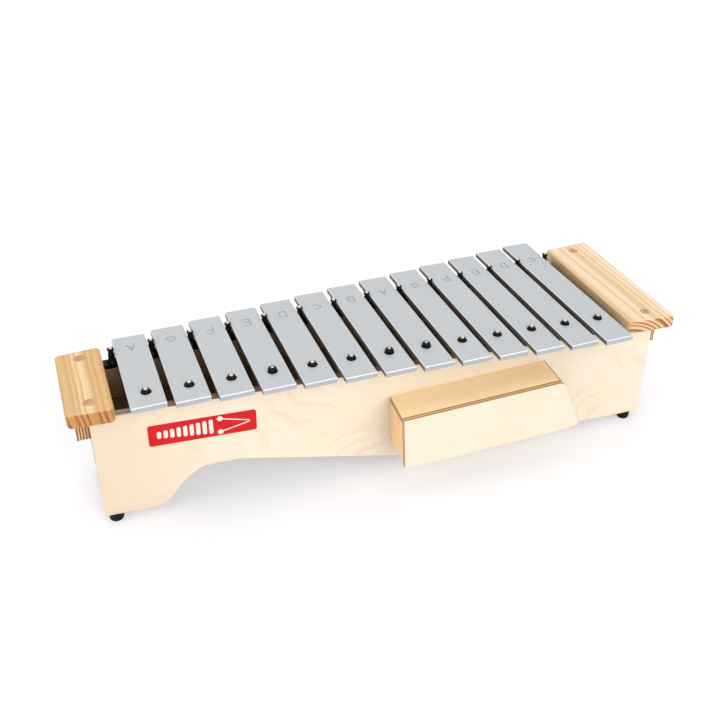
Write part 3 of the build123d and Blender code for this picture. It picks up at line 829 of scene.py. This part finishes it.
# ---------------------------------------------------------------- dress the CAD nodes
BOARDS = (
    ("front_panel", FRONT_OUT, FRONT_ALONG, 7, BIRCH, 1.0, -1, front_face_marks),
    ("rear_panel", REAR_OUT, REAR_ALONG, 7, BIRCH, 14.0, -1, None),
    ("end_board_left", X_AXIS, Y_AXIS, 7, BIRCH, 22.0, 1, None),
    ("end_board_right", X_AXIS, Y_AXIS, 7, BIRCH, 31.0, -1, None),
    ("resonator_floor", UP, X_AXIS, 3, SHADED_FLOOR, 40.0, None, None),
    ("grip_rail_left", X_AXIS, Y_AXIS, 11, RAIL, 53.0, None, None),
    ("grip_rail_right", X_AXIS, Y_AXIS, 11, RAIL, 62.0, None, None),
    ("beater_holder_top", HOLDER_UP, HOLDER_ALONG, 5, HOLDER_HONEY, 71.0, None, None),
    ("beater_holder_front", HOLDER_FACE, HOLDER_ALONG, 5, HOLDER_PALE, 83.0, None, None),
    ("beater_holder_end", HOLDER_END, HOLDER_FACE, 5, HOLDER_SIDE, 92.0, None, None),
    ("beater_holder_floor", HOLDER_UP, HOLDER_ALONG, 5, HOLDER_HONEY, 104.0, None, None),
)
FEET = [n for n in NODES if n.startswith("foot_") and n != "foot_screws"]


def dress(node, material):
    mesh = NODES[node].data
    mesh.materials.clear()
    mesh.materials.append(material)


def smooth_edges(node, width, segments=2):
    """Welds and rounds a CAD node's sharp edges without touching its own mesh."""
    shape = NODES[node]
    weld = shape.modifiers.new("weld", "WELD")
    weld.merge_threshold = WELD_REACH
    bevel = shape.modifiers.new("bevel", "BEVEL")
    bevel.width = width
    bevel.segments = segments
    bevel.limit_method = "ANGLE"
    bevel.angle_limit = math.radians(40)
    bevel.use_clamp_overlap = False
    shading = shape.modifiers.new("shading", "WEIGHTED_NORMAL")
    shading.weight = 50
    shading.keep_sharp = False


def dress_wood():
    for node, across, along, plies, tones, seed, inner, marks in BOARDS:
        dress(node, plywood(node, across, along, plies, tones, seed, inner, marks))
        smooth_edges(node, BOARD_ROUNDING)
    dress("end_block_left", solid_pine("pine_left", "end_block_left", PINE_LEFT, 3.0))
    dress("end_block_right", solid_pine("pine_right", "end_block_right", PINE_RIGHT, 12.0))
    dress("block_plugs", plug_wood())


def dress_rest():
    rubber = black_rubber()
    metal = bar_metal()
    steel = zinc_steel()
    for node in BARS:
        dress(node, metal)
    for node in (*FEET, "rear_rubber_rail"):
        dress(node, rubber)
    for node in ("block_screws", "foot_screws"):
        dress(node, steel)
    dress("badge", badge_red())
    rear_sleeves(rubber)
    front_sleeves(rubber)
    pins(pin_metal())
    badge_print(print_cream())


# ---------------------------------------------------------------- studio
def studio():
    """White sheet, walls and three soft lights."""
    half = 12.0
    mesh = bpy.data.meshes.new("studio_floor")
    corners = [(-half, -half, 0), (half, -half, 0), (half, half, 0), (-half, half, 0)]
    mesh.from_pydata(corners, [], [(0, 1, 2, 3)])
    floor = new_piece("studio_floor", mesh, studio_white(), body=None)
    sky()
    softbox("front", turn=15.0, height=26.0, spread=50.0, level=0.74)
    softbox("left_fill", turn=-75.0, height=35.0, spread=60.0, level=0.33)
    softbox("back_top", turn=170.0, height=66.0, spread=80.0, level=0.42)


def sky():
    """White walls near eye level that darken towards the ceiling."""
    world = bpy.data.worlds.new("studio")
    bpy.context.scene.world = world
    world.use_nodes = True
    tree = world.node_tree
    direction = tree.nodes.new("ShaderNodeTexCoord")
    split = tree.nodes.new("ShaderNodeSeparateXYZ")
    fade = tree.nodes.new("ShaderNodeMapRange")
    fade.interpolation_type = "SMOOTHSTEP"
    for name, value in (("From Min", 0.15), ("From Max", 0.40), ("To Min", 1.0), ("To Max", 0.52)):
        fade.inputs[name].default_value = value
    background = tree.nodes["Background"]
    background.inputs["Color"].default_value = (1.0, 1.0, 1.0, 1.0)
    tree.links.new(direction.outputs["Generated"], split.inputs[0])
    tree.links.new(split.outputs["Z"], fade.inputs["Value"])
    tree.links.new(fade.outputs["Result"], background.inputs["Strength"])


def softbox(name, turn, height, spread, level):
    """Distant soft light; its angles are in degrees, and level 1 makes white paper white.

    turn is counted from the front towards the right.
    """
    light = bpy.data.lights.new(name, "SUN")
    light.energy = level * math.pi
    light.angle = math.radians(spread)
    lamp = bpy.data.objects.new(name, light)
    turn = math.radians(turn)
    height = math.radians(height)
    flat = math.cos(height)
    towards = Vector((math.sin(turn) * flat, -math.cos(turn) * flat, math.sin(height)))
    lamp.rotation_euler = towards.to_track_quat("Z", "Y").to_euler()
    bpy.context.scene.collection.objects.link(lamp)


def camera():
    """Camera in front of the small end, looking down along the row of bars."""
    flat = math.cos(CAMERA_DOWN)
    side_shade_mask = math.sin(CAMERA_AZIMUTH) * flat
    ahead = math.cos(CAMERA_AZIMUTH) * flat
    forward = Vector((side_shade_mask, ahead, -math.sin(CAMERA_DOWN)))
    level = forward.cross(UP).normalized()
    above = level.cross(forward)
    right = level * math.cos(CAMERA_ROLL) + above * math.sin(CAMERA_ROLL)
    lens = bpy.data.cameras.new("camera")
    lens.lens = CAMERA_LENS
    lens.sensor_width = 36.0
    lens.shift_x, lens.shift_y = CAMERA_SHIFT
    lens.clip_end = 60.0
    eye = bpy.data.objects.new("camera", lens)
    basis = Matrix((right, right.cross(forward), -forward)).transposed()
    eye.matrix_world = Matrix.Translation(CAMERA_PLACE) @ basis.to_4x4()
    bpy.context.scene.collection.objects.link(eye)
    bpy.context.scene.camera = eye


camera()
dress_wood()
dress_rest()
studio()
bpy.context.scene.view_settings.view_transform = "Standard"
